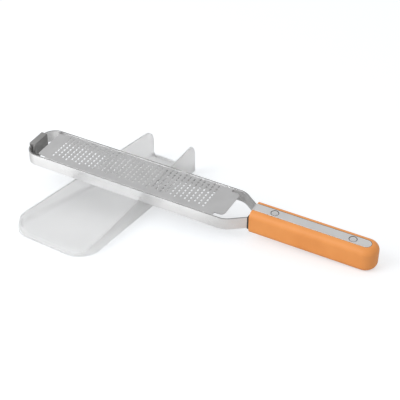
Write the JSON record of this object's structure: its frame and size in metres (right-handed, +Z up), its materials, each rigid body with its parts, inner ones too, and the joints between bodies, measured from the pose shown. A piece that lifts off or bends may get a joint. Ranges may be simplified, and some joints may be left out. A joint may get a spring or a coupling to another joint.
{
  "type": "rasp zester",
  "caption": "Hand-held rasp zester with an etched steel blade in a looped frame and a riveted grip, leaning on its scoop-shaped catch tray.",
  "frame": {"origin": "centre of the catch tray's base, on the surface that it stands on", "axes": "+X along the rasp from its tip to its handle, seen from above; +Z up"},
  "size_m": [0.3229, 0.1779, 0.0415],
  "materials": {
    "frame_steel": "satin",
    "blade_steel": "etched satin",
    "inlay_steel": "satin",
    "rivet_steel": "polished",
    "foot_rubber": "matt",
    "collar_plastic": "matt",
    "grip_plastic": "soft satin",
    "tray_plastic": "frosted"
  },
  "bodies": {
    "tray": {"catch_tray": "tray_plastic"},
    "rasp": {"frame_strip": "frame_steel", "blade_plate": "blade_steel", "tip_foot": "foot_rubber", "handle_grip": "grip_plastic", "inlay_plate": "inlay_steel", "rivet_front": "rivet_steel", "rivet_rear": "rivet_steel", "arm_collar": "collar_plastic"}
  },
  "joints": [
    {"name": "rasp_lift", "type": "slide", "parent": "tray", "child": "rasp", "axis": [0, 0, 1], "range_m": [0, 0.15]}
  ]
}
